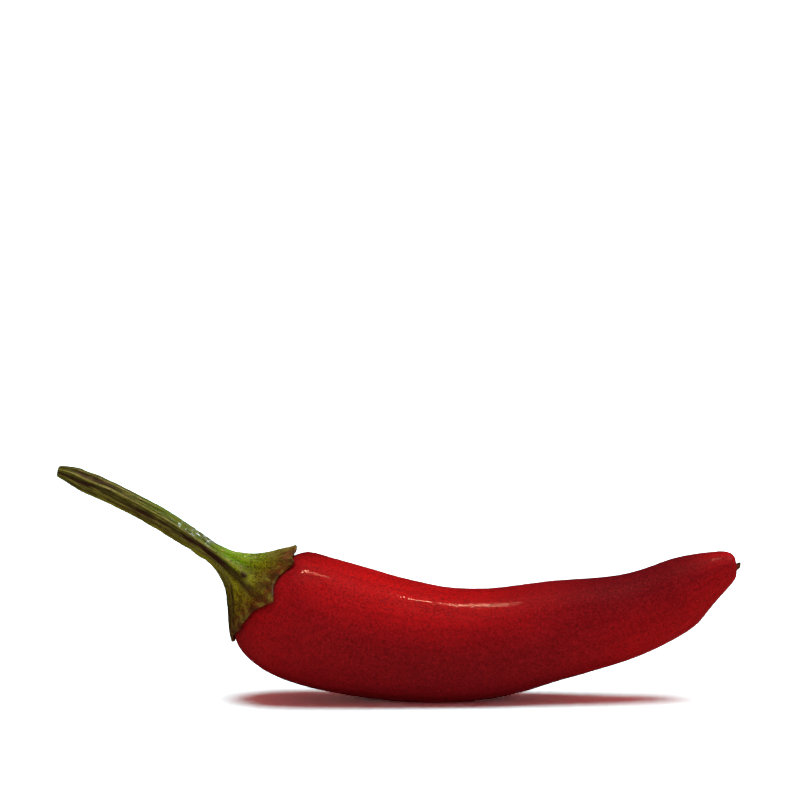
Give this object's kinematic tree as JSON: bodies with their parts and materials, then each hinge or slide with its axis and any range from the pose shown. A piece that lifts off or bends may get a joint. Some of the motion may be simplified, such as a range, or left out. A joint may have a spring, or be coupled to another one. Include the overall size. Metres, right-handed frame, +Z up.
{
  "type": "chilli pepper",
  "caption": "Long tapering red chilli pepper, lying on its belly, with a toothed green calyx and a ribbed cut stem.",
  "frame": {"origin": "middle of the small flat spot that the pod rests on", "axes": "+X along the chilli to its blossom end, the stem to -X, +Z up, -Y the side that the picture shows"},
  "size_m": [0.1123, 0.021, 0.0387],
  "materials": {
    "skin": "glossy waxy red skin",
    "green": "satin green with brown streaks",
    "dry": "dry brown scrap"
  },
  "bodies": {
    "root": {"pod": "skin", "calyx_stem": "green", "style_remnant": "dry"}
  },
  "joints": []
}
